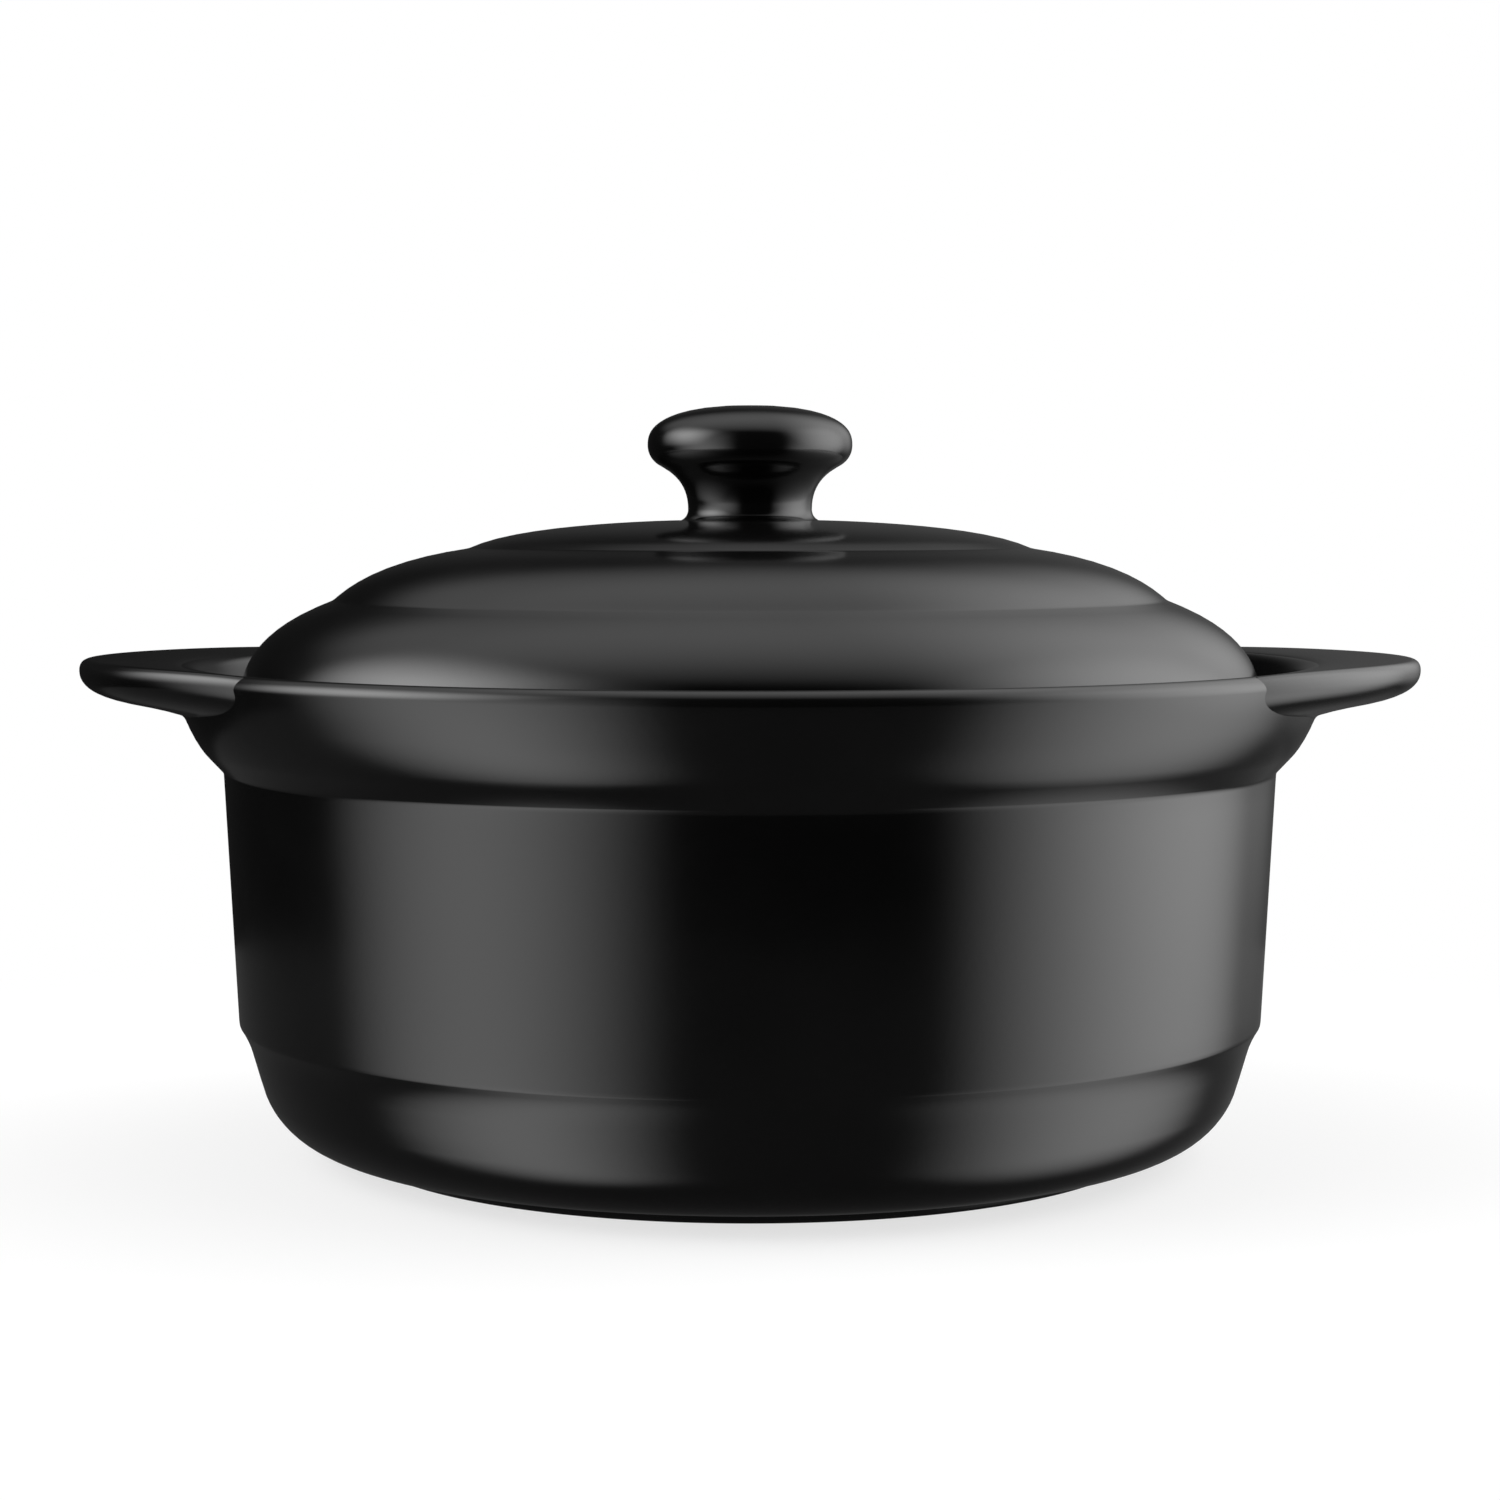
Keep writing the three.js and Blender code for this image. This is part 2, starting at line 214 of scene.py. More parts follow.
# %% Outside of the pot, from the middle of the underside to the lip
FOOT_RADIUS, FOOT_WIDTH, FOOT_HEIGHT, FOOT_FLARE = 84.1, 8.0, 2.7, 2.0
FOOT_RECESS, RECESS_SLOPE = 2.2, 1.5
HEEL_CENTRE, HEEL_ROUND, BAND_DRAFT = (88.1, 20.1), 17.4, 16.0
BAND_RADIUS, BAND_TOP = 107.35, 24.1
WALL_RADIUS, STEP_TOP = 109.7, 28.7
STEP_COVE = (BAND_RADIUS + 1.15, BAND_TOP + 3.0)
NECK_RADIUS, CREASE_LEVEL = 112.4, 82.4
FLANGE_CORNER, FLANGE_BULGE = (117.4, 87.7), (120.9, 94.7)
FLANGE_ROUND_FROM, FLANGE_ROUND_TO = (115.9, 86.1), (119.15, 91.2)
LIP_ROUND = 2.65
LIP_CENTRE = (RIM_RADIUS - LIP_ROUND, RIM_LEVEL - LIP_ROUND)

pot_outline = Outline(0, FOOT_RECESS)
pot_outline.line(FOOT_RADIUS - FOOT_WIDTH - RECESS_SLOPE, FOOT_RECESS)
pot_outline.line(FOOT_RADIUS - FOOT_WIDTH, TABLE_LEVEL)
pot_outline.line(FOOT_RADIUS, TABLE_LEVEL)
pot_outline.line(FOOT_RADIUS + FOOT_FLARE, FOOT_HEIGHT)
pot_outline.arc(HEEL_CENTRE, HEEL_ROUND, -90, -BAND_DRAFT)
pot_outline.line(BAND_RADIUS, BAND_TOP)
pot_outline.bend(STEP_COVE, (WALL_RADIUS, STEP_TOP))
pot_outline.line(NECK_RADIUS, CREASE_LEVEL)
pot_outline.line(*FLANGE_ROUND_FROM)
pot_outline.bend(FLANGE_CORNER, FLANGE_ROUND_TO)
pot_outline.bend(FLANGE_BULGE, (RIM_RADIUS, LIP_CENTRE[1]))
pot_outline.arc(LIP_CENTRE, LIP_ROUND, 0, 180)
print("outside of the pot drawn with", len(pot_outline.points), "points")

# %% Inside of the pot, then the wheel
POT_FACETS = 192
POT_GLAZE = 0.5         # mm over which the glaze rounds the pot's edges
LEDGE_LEVEL, GALLERY_RADIUS, GALLERY_ROUND = 94.0, 115.8, 1.5
MOUTH_RADIUS, MOUTH_ROUND = 104.6, 1.5
FLOOR_LEVEL, INNER_ROUND, INNER_LEAN = 9.2, 22.0, 2.45
INNER_CENTRE = (79.9, FLOOR_LEVEL + INNER_ROUND)

pot_outline.line(GALLERY_RADIUS, LEDGE_LEVEL + GALLERY_ROUND)
pot_outline.bend((GALLERY_RADIUS, LEDGE_LEVEL), (GALLERY_RADIUS - GALLERY_ROUND, LEDGE_LEVEL))
pot_outline.line(MOUTH_RADIUS + MOUTH_ROUND, LEDGE_LEVEL)
pot_outline.bend((MOUTH_RADIUS, LEDGE_LEVEL), (MOUTH_RADIUS, LEDGE_LEVEL - MOUTH_ROUND))
pot_outline.arc(INNER_CENTRE, INNER_ROUND, -INNER_LEAN, -90)
pot_outline.line(0, FLOOR_LEVEL)
pot_skin = glaze_over(pot_outline, POT_GLAZE)
pot = turn("glazed_pot", thinned(pot_skin), POT_FACETS)

# %% [markdown]
# The lid
# The lid rises in three tiers: a steep full shoulder, a middle tier that turns in at a knuckle, and a
# shallow crown with a small flat for the knob. Each tier swells a little, so the line has a slight hollow
# between them, which shows as a soft ring. Underneath, the lid is one shell with a flat seat and a locating
# ring that drops into the mouth. The seat and the ring aren't seen in the photograph, and follow what such
# lids have.

# %% Top of the lid, from the middle of the crown to the edge
SEAT_GAP, EDGE_HEIGHT, EDGE_DRAFT = 0.3, 4.7, 0.6
SEAT_LEVEL = LEDGE_LEVEL + SEAT_GAP
EDGE_TOP, SHOULDER_TOP, MIDDLE_TOP = SEAT_LEVEL + EDGE_HEIGHT, 118.2, 129.25
SHOULDER_RADIUS, MIDDLE_RADIUS = 89.2, 60.3
SHOULDER_KNUCKLE = (LID_RADIUS - 1.0, EDGE_TOP + 12.4)
MIDDLE_KNUCKLE = (SHOULDER_RADIUS - 8.6, SHOULDER_TOP + 8.2)
CROWN_KNUCKLE = Vector((MIDDLE_RADIUS - 8.6, MIDDLE_TOP + 4.3))
FLAT_EDGE = Vector((16.4, CROWN_LEVEL))
CROWN_EASE = 7.0        # mm on each side of the flat's edge over which it is rounded into the crown

lid_outline = Outline(0, CROWN_LEVEL)
lid_outline.line(FLAT_EDGE.x - CROWN_EASE, CROWN_LEVEL)
lid_outline.bend(FLAT_EDGE, FLAT_EDGE + CROWN_EASE * (CROWN_KNUCKLE - FLAT_EDGE).normalized())
lid_outline.bend(CROWN_KNUCKLE, (MIDDLE_RADIUS, MIDDLE_TOP))
lid_outline.bend(MIDDLE_KNUCKLE, (SHOULDER_RADIUS, SHOULDER_TOP))
lid_outline.bend(SHOULDER_KNUCKLE, (LID_RADIUS, EDGE_TOP))
lid_outline.line(LID_RADIUS - EDGE_DRAFT, SEAT_LEVEL)
print("top of the lid drawn with", len(lid_outline.points), "points")

# %% Underside of the lid, then the wheel
LID_GLAZE = 0.45
LID_WALL = 5.8
RING_OUTER, RING_INNER, RING_TAPER = 103.4, 98.4, 0.8
CEILING = CROWN_LEVEL - LID_WALL

lid_outline.line(RING_OUTER, SEAT_LEVEL)
lid_outline.line(RING_OUTER - RING_TAPER, RING_FOOT)
lid_outline.line(RING_INNER, RING_FOOT)
lid_outline.line(RING_INNER, EDGE_TOP)
lid_outline.sweep((RING_INNER, SHOULDER_TOP - LID_WALL), (MIDDLE_RADIUS, CEILING), (0, CEILING))
lid = turn("glazed_lid", thinned(glaze_over(lid_outline, LID_GLAZE)), POT_FACETS)

# %% [markdown]
# The knob
# A waisted neck grows out of a small round at its base and flares into a full head. The top of the head is
# squarer than a half ellipse, so it is drawn as a superellipse by formula. The knob is luted to the lid, so
# here its base goes a little way into the crown instead of standing on it with a gap.

# %% Draw and turn the knob
KNOB_FACETS = 128
KNOB_GLAZE = 0.45
KNOB_BED = 0.6          # mm that the base goes into the crown
NECK, BASE_ROUND, NECK_FULLNESS = 13.3, 2.1, 6.1
HEAD_FOOT, WIDEST, HEAD_UNDERCUT, HEAD_FULLNESS = KNOB_BASE + 11.1, KNOB_BASE + 15.8, 3.0, 1.6
CROWN_POWER = 2.4       # 2 is an ellipse

knob_outline = Outline(0, KNOB_BASE - KNOB_BED)
knob_outline.line(NECK + BASE_ROUND, KNOB_BASE - KNOB_BED)
knob_outline.bend((NECK, KNOB_BASE), (NECK, KNOB_BASE + BASE_ROUND))
knob_outline.bend((NECK, KNOB_BASE + BASE_ROUND + NECK_FULLNESS), (KNOB_RADIUS - HEAD_UNDERCUT, HEAD_FOOT))
knob_outline.bend((KNOB_RADIUS, HEAD_FOOT + HEAD_FULLNESS), (KNOB_RADIUS, WIDEST))
for i in range(1, CURVE_POINTS):
    angle = pi / 2 * i / CURVE_POINTS
    out, up = cos(angle) ** (2 / CROWN_POWER), sin(angle) ** (2 / CROWN_POWER)
    knob_outline.line(KNOB_RADIUS * out, WIDEST + (KNOB_TOP - WIDEST) * up)
knob_outline.line(0, KNOB_TOP)
knob = turn("glazed_knob", thinned(glaze_over(knob_outline, KNOB_GLAZE)), KNOB_FACETS)

# %% [markdown]
# The handles
# Each handle is a crescent lug: it leaves the crest of the lip, climbs a little to its rounded nose, and
# runs out where its outline, an ellipse in plan, meets the round of the pot. It could be cut from a block
# with a boolean. Here its section is drawn once and spun through a part of a turn, and then each section is
# swung and moved so that its outer edge lies on the ellipse. That keeps even faces along the lug and leaves
# room for the small fillet of slip where it joins the flange.

# %% The flange that carries the lugs
crest = max(pot_skin, key=lambda p: p.y)
pot_side = pot_skin[:pot_skin.index(crest) + 1]
flange = [p for p in pot_side if p.x > NECK_RADIUS and p.y > CREASE_LEVEL]


def flange_radius(level):
    """Radius of the flange's outside at a level, from the glazed outline of the pot."""
    for low, high in zip(flange, flange[1:]):
        if low.y <= level <= high.y:
            return low.x + (high.x - low.x) * (level - low.y) / (high.y - low.y)
    return flange[0].x if level < flange[0].y else crest.x


print(f"crest of the lip {crest.x:.2f}, {crest.y:.2f}; "
      f"flange at the level of the ledge {flange_radius(LEDGE_LEVEL):.2f} mm")

# %% Draw the lug's section
LUG_GLAZE = 0.5
EDGE_ROUND, NOSE_DROP = 2.5, 2.5
ROLL_IN, ROLL_DROP, ROLL_FULLNESS = 8.5, 8.6, 4.5   # the round that turns the nose under the lug
UNDER_SLOPE, FILLET = 0.16, 1.4
BURIED, BURIED_DROP = 2.0, 1.0                      # how far the foot of the fillet goes into the flange
LUG_TOP = crest.y - 0.12                    # a little under the crest, so that the lip stays whole
LUG_ROOT = flange_radius(LUG_TOP - 10.7)    # where the underside meets the flange
TOP_ROOT = crest.x - 1.2                    # the top starts inside the lip and comes out at its crest

root_level = LUG_TOP - ROLL_DROP - (NOSE_REACH - ROLL_IN - LUG_ROOT) * UNDER_SLOPE
fillet_foot = root_level - FILLET
lug_outline = Outline(TOP_ROOT, LUG_TOP)
lug_outline.line(NOSE_REACH - EDGE_ROUND, LUG_TOP)
lug_outline.bend((NOSE_REACH, LUG_TOP), (NOSE_REACH, LUG_TOP - NOSE_DROP))
lug_outline.bend((NOSE_REACH, LUG_TOP - NOSE_DROP - ROLL_FULLNESS),
                 (NOSE_REACH - ROLL_IN, LUG_TOP - ROLL_DROP))
lug_outline.line(LUG_ROOT + FILLET, root_level + FILLET * UNDER_SLOPE)
lug_outline.bend((LUG_ROOT, root_level), (flange_radius(fillet_foot), fillet_foot))
lug_outline.line(flange_radius(fillet_foot) - BURIED, fillet_foot - BURIED_DROP)
lug_points = thinned(glaze_over(lug_outline, LUG_GLAZE))
print(f"lug: section of {len(lug_points)} points, underside meets the flange at {root_level:.1f} mm")

# %% Spin the section
LUG_TURN, LUG_STEPS = radians(72), 160

right_handle = draw_line("glazed_handle_right", lug_points + lug_points[:1])
bpy.ops.mesh.remove_doubles(threshold=MERGE_REACH)
bpy.ops.mesh.spin(steps=LUG_STEPS, angle=LUG_TURN, center=(0, 0, 0), axis=(0, 0, 1))
bpy.ops.mesh.select_all(action="SELECT")
bpy.ops.mesh.fill_holes(sides=0)
bpy.ops.object.mode_set(mode="OBJECT")
print(f"lug: section spun to {len(right_handle.data.polygons)} faces")

# %% Swing the sections into place
LUG_LENGTH, LUG_HALF_WIDTH = 110.0, 88.9    # half axes of the ellipse
LUG_CENTRE = NOSE_REACH - LUG_LENGTH
SWEEP = radians(54)                 # angle of the ellipse at each end, which lies inside the flange
LUG_RISE, RISE_REACH = 1.2, 6.0     # how far the lug climbs outside the crest of the lip, and how soon
ROOT_DIP = 0.45                     # how steeply it dips inside the crest
TOP_DEPTH = 1.0                     # points down to this depth belong to the top


def depth_to(circle, edge, inward):
    """Distance from a point of the edge to a circle round the pot's axis, straight inwards."""
    along = -edge.dot(inward)
    return along - sqrt(max(0.0, along ** 2 - edge.length_squared + circle ** 2))


span = [atan2(v.co.y, v.co.x) for v in right_handle.data.vertices]
middle = (min(span) + max(span)) / 2
full_depth = NOSE_REACH - LUG_ROOT - ROLL_IN
for vertex, angle in zip(right_handle.data.vertices, span):
    share = (angle - middle) / LUG_TURN * 2             # -1 and 1 at the ends
    edge = Vector((LUG_CENTRE + LUG_LENGTH * cos(SWEEP * share), LUG_HALF_WIDTH * sin(SWEEP * share)))
    inward = Vector((-cos(share * pi / 2), -sin(share * pi / 2)))
    inset, level = NOSE_REACH - hypot(vertex.co.x, vertex.co.y) / MM, vertex.co.z / MM
    if inset > ROLL_IN:
        depth = max(depth_to(LUG_ROOT, edge, inward) - ROLL_IN, 0)
        drawn = ROLL_IN + (inset - ROLL_IN) * depth / full_depth
        if level < LUG_TOP - ROLL_DROP:
            level += (inset - drawn) * UNDER_SLOPE
        inset = drawn
    innermost = TOP_ROOT if level > LUG_TOP - TOP_DEPTH else flange_radius(level) - BURIED
    place = edge + inward * min(inset, depth_to(innermost, edge, inward))
    outside = place.length - crest.x
    level += LUG_RISE * (1 - exp(-max(outside, 0) / RISE_REACH)) + ROOT_DIP * min(outside, 0)
    vertex.co = Vector((place.x, place.y, level)) * MM
bpy.ops.object.mode_set(mode="EDIT")
close_skin()
print("right handle:", [round(side / MM, 1) for side in right_handle.dimensions], "mm")

# %% Copy the lug to the other side
bpy.ops.object.duplicate()
left_handle = bpy.context.object
left_handle.name = left_handle.data.name = "glazed_handle_left"
bpy.ops.transform.rotate(value=pi, orient_axis="Z", center_override=(0, 0, 0))
bpy.ops.object.transform_apply(location=True, rotation=True, scale=True)
print("left handle nose at", round(min(v.co.x for v in left_handle.data.vertices) / MM, 1), "mm")

# %% [markdown]
# Each piece takes its place in the frame
# A piece rides on the CAD body it moves with and stands for the CAD node it replaces. Each row also lists
# the slot of the record that its finish belongs to, which is not used here. The lid and its knob are one
# body, so the knob lifts with the lid.

# %% Ride and replace
places = [
    (pot, "pot", "pot_body", "pot_glaze"),
    (right_handle, "pot", "handle_right", "handle_glaze"),
    (left_handle, "pot", "handle_left", "handle_glaze"),
    (lid, "lid", "lid", "lid_glaze"),
    (knob, "lid", "lid_knob", "knob_glaze"),
]
for piece, body, node, slot in places:
    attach(piece, body)
    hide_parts(node)
    print(piece.name, "rides on", body, "for", node)

# %% [markdown]
# Shader sums
# A material is a small sum: so much roughness, plus a little more in some places. Linking Math nodes by
# hand hides that sum, so this class wraps a socket and lets Python's own signs add the nodes. Every other
# node comes from its one node method. A material, a lamp and the world all start from an empty node tree.

# %% A socket that can be added and multiplied
class Wire:
    """An output socket in a node tree, with the signs of arithmetic."""

    def __init__(self, tree, socket=None):
        self.tree, self.socket = tree, socket

    def node(self, kind, settings=None, sockets=None, out=0):
        """A new node of that kind, as the wire from one of its outputs."""
        made = self.tree.nodes.new(kind)
        for name, value in (settings or {}).items():
            setattr(made, name, value)
        for name, value in (sockets or {}).items():
            if isinstance(value, Wire):
                self.tree.links.new(value.socket, made.inputs[name])
            else:
                made.inputs[name].default_value = value
        return Wire(self.tree, made.outputs[out] if made.outputs else None)

    def maths(self, operation, first, second):
        return self.node("ShaderNodeMath", {"operation": operation}, {0: first, 1: second})

    def __add__(self, other):
        return self.maths("ADD", self, other)

    def __sub__(self, other):
        return self.maths("SUBTRACT", self, other)

    def __rsub__(self, other):
        return self.maths("SUBTRACT", other, self)

    def __mul__(self, other):
        return self.maths("MULTIPLY", self, other)

    __radd__, __rmul__ = __add__, __mul__

    def rise(self, low, high):
        """0 below the low value, 1 above the high one, smooth between them."""
        return self.node("ShaderNodeMapRange", {"interpolation_type": "SMOOTHSTEP"},
                         {"Value": self, "From Min": low, "From Max": high})


MIX_FACTOR, MIX_FIRST, MIX_SECOND, MIX_COLOUR = 0, 6, 7, 2      # places of a Mix node's colour sockets


def colour_mix(factor, first, second):
    """The first colour where the factor is 0, the second where it is 1. Each is a wire or three numbers."""
    first, second = (colour if isinstance(colour, Wire) else (*colour, 1) for colour in (first, second))
    return factor.node("ShaderNodeMix", {"data_type": "RGBA"},
                       {MIX_FACTOR: factor, MIX_FIRST: first, MIX_SECOND: second}, out=MIX_COLOUR)


def empty_tree(owner):
    """A start for the nodes of a material, a lamp or the world."""
    owner.use_nodes = True
    owner.node_tree.nodes.clear()
    return Wire(owner.node_tree)


# %% [markdown]
# The glaze
# A satin black glaze is nearly black by itself. What the eye sees is the light it mirrors, blurred by a
# surface that is a little rough. Up close the gloss changes softly from place to place, and the skin has
# the fine dimples of orange peel. The potter wipes the glaze off where the pot stands in the kiln and where
# the lid rests on the ledge, so the bare clay shows there. All of it is made from Object coordinates, which
# don't slide, because every piece has its place in its mesh.

# %% Where the glaze is wiped off
WIPED_EDGE = 0.35 * MM      # width over which the glaze ends


def bare_clay(place, bands):
    """1 on the bare bands and 0 on the glaze. A band is its levels and radii, low to high, in metres."""
    x, y, z = (place.node("ShaderNodeSeparateXYZ", None, {"Vector": place}, out=axis) for axis in "XYZ")
    radius = place.maths("POWER", x * x + y * y, 0.5)
    return sum(z.rise(low - WIPED_EDGE, low) * (1 - z.rise(high, high + WIPED_EDGE))
               * radius.rise(inner - WIPED_EDGE, inner + WIPED_EDGE)
               * (1 - radius.rise(outer - WIPED_EDGE, outer + WIPED_EDGE))
               for low, high, inner, outer in bands)


def noise(place, size, detail):
    """A noise whose blotches are about that large."""
    return place.node("ShaderNodeTexNoise", {"noise_dimensions": "3D"},
                      {"Vector": place, "Scale": 1 / size, "Detail": detail})


# %% Mix a glaze
BLACK, WORN_BLACK = (0.0012, 0.0012, 0.0012), (0.0030, 0.0030, 0.0030)
CLAY, PALE_CLAY = (0.16, 0.125, 0.095), (0.23, 0.185, 0.145)
CLAY_ROUGHNESS = 0.88
ROUGHNESS_SPREAD = 0.05     # change of the glaze's roughness over the range of the noise
GLAZE_IOR = 1.62
CLOUD_SIZE, PEEL_SIZE, GRAIN_SIZE = 32 * MM, 1.6 * MM, 0.5 * MM
CLOUD_DETAIL, PEEL_DETAIL, GRAIN_DETAIL = 3.0, 1.0, 4.0
NOISE_MIDDLE = 0.5
PEEL_DEPTH, GRAIN_DEPTH = 0.004 * MM, 0.06 * MM
WORN_FROM, WORN_TO = 0.35, 0.75     # noise at which the black begins to pale, and where it is palest
PALE_FROM, PALE_TO = 0.3, 0.7       # the same for the grains of the clay


def mix_glaze(name, mean_roughness, bands=()):
    """A black glaze, wiped off the bands."""
    material = bpy.data.materials.new(name)
    start = empty_tree(material)
    place = start.node("ShaderNodeTexCoord", out="Object")
    clouds, peel = noise(place, CLOUD_SIZE, CLOUD_DETAIL), noise(place, PEEL_SIZE, PEEL_DETAIL)
    colour = colour_mix(clouds.rise(WORN_FROM, WORN_TO), BLACK, WORN_BLACK)
    roughness = mean_roughness + (clouds - NOISE_MIDDLE) * ROUGHNESS_SPREAD
    height = peel * PEEL_DEPTH
    if bands:
        clay, grain = bare_clay(place, bands), noise(place, GRAIN_SIZE, GRAIN_DETAIL)
        colour = colour_mix(clay, colour, colour_mix(grain.rise(PALE_FROM, PALE_TO), CLAY, PALE_CLAY))
        roughness = roughness * (1 - clay) + clay * CLAY_ROUGHNESS
        height = height * (1 - clay) + grain * clay * GRAIN_DEPTH
    normal = start.node("ShaderNodeBump", None, {"Strength": 1.0, "Distance": 1.0, "Height": height})
    skin = start.node("ShaderNodeBsdfPrincipled", None,
                      {"Base Color": colour, "Roughness": roughness, "IOR": GLAZE_IOR, "Normal": normal})
    start.node("ShaderNodeOutputMaterial", None, {"Surface": skin})
    print(name, "has", len(material.node_tree.nodes), "nodes")
    return material


# %% Glaze the pieces
POT_ROUGHNESS, LID_ROUGHNESS, KNOB_ROUGHNESS = 0.18, 0.16, 0.15
GLAZED_RIM = 0.9        # mm of glaze left between a bare band and the outer edge


def band(low, high, inner, outer):
    """A bare band in metres, from its levels and radii in millimetres."""
    return low * MM, high * MM, inner * MM, outer * MM


foot_band = band(TABLE_LEVEL - 1, TABLE_LEVEL + 0.1,
                 FOOT_RADIUS - FOOT_WIDTH + 0.5, FOOT_RADIUS - GLAZED_RIM)
ledge_band = band(LEDGE_LEVEL - 0.6, LEDGE_LEVEL + 0.25, MOUTH_RADIUS, LID_RADIUS - GLAZED_RIM)
seat_band = band(SEAT_LEVEL - 0.5, SEAT_LEVEL + 0.5, RING_OUTER - 1, LID_RADIUS - GLAZED_RIM)
handle_glaze = mix_glaze("handle_black_glaze", POT_ROUGHNESS)
finishes = {
    pot: mix_glaze("pot_black_glaze", POT_ROUGHNESS, [foot_band, ledge_band]),
    right_handle: handle_glaze,
    left_handle: handle_glaze,
    lid: mix_glaze("lid_black_glaze", LID_ROUGHNESS, [seat_band]),
    knob: mix_glaze("knob_black_glaze", KNOB_ROUGHNESS),
}
for piece, finish in finishes.items():
    piece.data.materials.append(finish)
    print(piece.name, "is coated with", finish.name)

# %% [markdown]
# The camera
# The photograph is taken from a little above the rim with a long lens. Its distance, tilt and lens were
# found by fitting the outline of the pot, so the render lies over the photograph.

# %% Set up the camera
CAMERA_DISTANCE, CAMERA_HEIGHT, CAMERA_TILT = 0.72024, 0.137197, 0.07139407     # metres and radians
CAMERA_LENS, SENSOR_WIDTH = 80.19, 36                                           # mm
bpy.ops.object.camera_add(location=(0, -CAMERA_DISTANCE, CAMERA_HEIGHT),
                          rotation=(pi / 2 - CAMERA_TILT, 0, 0))
camera = bpy.context.object
camera.data.lens, camera.data.sensor_width = CAMERA_LENS, SENSOR_WIDTH
camera.data.dof.use_dof = False
bpy.context.scene.camera = camera
print("camera at", [round(v, 3) for v in camera.location])

# %% [markdown]
# The studio
# Black glaze shows its lamps, so the lamps are half of the finish. The photograph's reflections tell of a
# tall softbox and a small bright one above it on the left, a tall and a wide one on the right, a wide weak
# panel overhead, two faint glows behind, and a dark room in front, whose reflection is the black stripe down
# the middle of the pot. Lamps in Blender are given a power, but a reflection shows radiance, so each softbox
# is given its radiance and its power is worked out from its area.

# %% Hang the softboxes
WHITE = (1, 1, 1, 1)
WATTS_PER_RADIANCE = pi         # power of one square metre of softbox for a radiance of 1
LAMP_DISTANCE = 1.2
FADE = 0.5                      # share of a softbox over which its cloth dims towards each edge
AIM = Vector((0, 0, 0.06))


def towards(azimuth, elevation):
    """A direction from the pot. Azimuth 0 is the camera's side and 90 the right, both in degrees."""
    a, e = radians(azimuth), radians(elevation)
    return Vector((sin(a) * cos(e), -cos(a) * cos(e), sin(e)))


def softbox(name, azimuth, elevation, wide, tall, radiance, upright=False):
    """A lamp that looks so many degrees wide and tall from the pot, between its half-bright lines.
    An upright one stands straight up, and the others face the pot."""
    low, high = (tan(radians(angle)) for angle in (elevation - tall / 2, elevation + tall / 2))
    if upright:
        place, facing = towards(azimuth, 0) + Vector((0, 0, (low + high) / 2)), towards(azimuth, 0)
        height = high - low
    else:
        place = facing = towards(azimuth, elevation)
        height = 2 * tan(radians(tall / 2))
    bpy.ops.object.light_add(type="AREA", location=AIM + place * LAMP_DISTANCE)
    lamp = bpy.context.object
    lamp.name = name
    lamp.rotation_euler = facing.to_track_quat("Z", "Y").to_euler()
    lamp.data.shape = "RECTANGLE"
    lamp.data.size = 2 * tan(radians(wide / 2)) * LAMP_DISTANCE / (1 - FADE)
    lamp.data.size_y = height * LAMP_DISTANCE / (1 - FADE)
    lamp.data.energy = radiance * lamp.data.size * lamp.data.size_y * WATTS_PER_RADIANCE
    start = empty_tree(lamp.data)
    cloth = start.node("ShaderNodeNewGeometry", out="Parametric")
    across, along = (start.node("ShaderNodeSeparateXYZ", None, {"Vector": cloth}, out=axis) for axis in "XY")
    bright = 1.0
    for way in (across, along):
        bright = way.rise(0, FADE) * (1 - way.rise(1 - FADE, 1)) * bright
    glow = start.node("ShaderNodeEmission", None, {"Color": WHITE, "Strength": bright})
    start.node("ShaderNodeOutputLight", None, {"Surface": glow})
    lamp.visible_camera = False
    print(f"{name}: {lamp.data.size:.2f} x {lamp.data.size_y:.2f} m, {lamp.data.energy:.1f} W")


softbox("left_tall", -56.5, -16, 50, 92, 1.82, upright=True)
softbox("left_upper", -82, 28, 42, 37, 3.6)
softbox("right_tall", 86, -8, 59, 86, 2.08, upright=True)
softbox("right_upper", 107, 27, 77, 60, 1.6)
softbox("back_glow", 164, 1, 40, 54, 0.085)
softbox("left_back", -146, 38, 24, 14, 0.13)
softbox("overhead", 180, 83, 108, 63, 0.82)

# %% [markdown]
# The floor and the white room
# The floor is a pale disc with the pot's soft shadow on it, and it turns to plain white towards its edge,
# where it meets the white world. The camera sees that white by the Light Path node, so no lamp has to be
# raised for it. The glaze in the photograph mirrors a dark room and hardly any floor, so floor and room come
# into reflections with a small share only.

# %% Lay the floor
FLOOR_RADIUS, FLOOR_FACETS = 0.36, 96
SHADE_END, WHITE_START = 0.14, 0.33     # radii between which the paper turns to plain white
PAPER, TOP_UP = 0.4, 0.7                # grey of the paper, and the glow that lifts it to nearly white
REFLECTED_FLOOR = 0.05                  # share of the floor that a mirrored ray sees


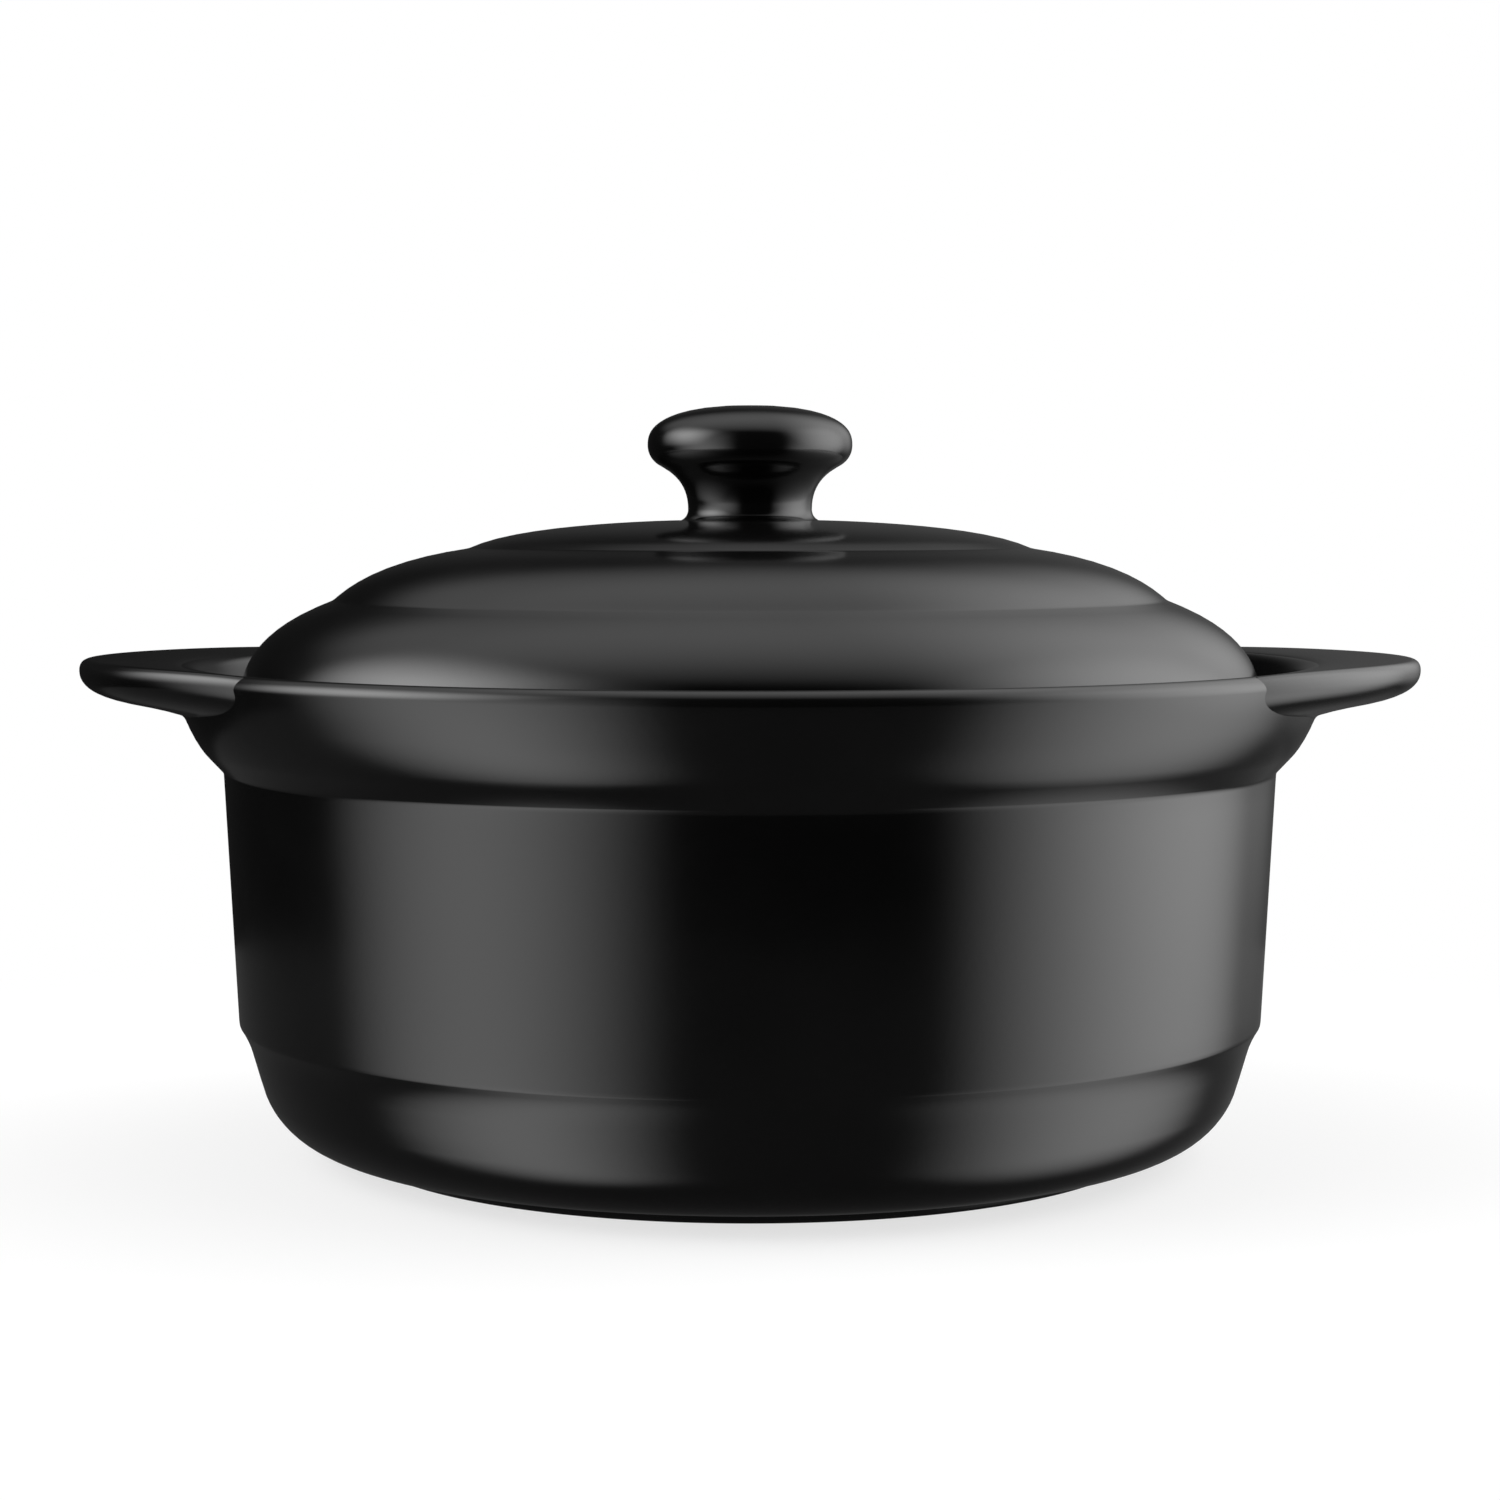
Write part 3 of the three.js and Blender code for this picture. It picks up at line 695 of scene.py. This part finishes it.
def ray_kinds(start):
    """1 or 0 for a ray from the camera, a mirrored ray and a ray through glass."""
    return [start.node("ShaderNodeLightPath", out=f"Is {kind} Ray")
            for kind in ("Camera", "Glossy", "Transmission")]


bpy.ops.object.select_all(action="DESELECT")
bpy.ops.mesh.primitive_circle_add(vertices=FLOOR_FACETS, radius=FLOOR_RADIUS, fill_type="NGON")
floor = bpy.context.object
floor.name = floor.data.name = "floor"
paper = bpy.data.materials.new("floor_paper")
start = empty_tree(paper)
camera_ray, glossy_ray, through_ray = ray_kinds(start)
seen = camera_ray + glossy_ray + through_ray
spread = start.node("ShaderNodeVectorMath", {"operation": "LENGTH"},
                    {0: start.node("ShaderNodeTexCoord", out="Object")}, out="Value")
matt = start.node("ShaderNodeBsdfDiffuse", None, {"Color": (PAPER, PAPER, PAPER, 1)})
lift = start.node("ShaderNodeEmission", None, {"Color": WHITE, "Strength": seen * TOP_UP})
near = start.node("ShaderNodeAddShader", None, {0: matt, 1: lift})
far = start.node("ShaderNodeEmission", None, {"Color": WHITE, "Strength": 1.0})
whitened = spread.rise(SHADE_END, WHITE_START) * seen
sheet = start.node("ShaderNodeMixShader", None, {0: whitened, 1: near, 2: far})
open_air = start.node("ShaderNodeBsdfTransparent")
let_through = glossy_ray * (1 - REFLECTED_FLOOR)
ground = start.node("ShaderNodeMixShader", None, {0: let_through, 1: sheet, 2: open_air})
start.node("ShaderNodeOutputMaterial", None, {"Surface": ground})
floor.data.materials.append(paper)
print("floor of", FLOOR_RADIUS, "m")

# %% Paint the room
REFLECTED_ROOM = 0.012      # share of the room's white that lights the pieces or is mirrored in them

world = bpy.data.worlds.new("room")
bpy.context.scene.world = world
start = empty_tree(world)
camera_ray, glossy_ray, through_ray = ray_kinds(start)
white = camera_ray + through_ray + glossy_ray * REFLECTED_ROOM
dim = (1 - camera_ray) * (1 - through_ray) * (1 - glossy_ray) * REFLECTED_ROOM
room = start.node("ShaderNodeBackground", None, {"Color": WHITE, "Strength": white + dim})
start.node("ShaderNodeOutputWorld", None, {"Surface": room})
bpy.context.scene.view_settings.view_transform = "Standard"
print("room painted")
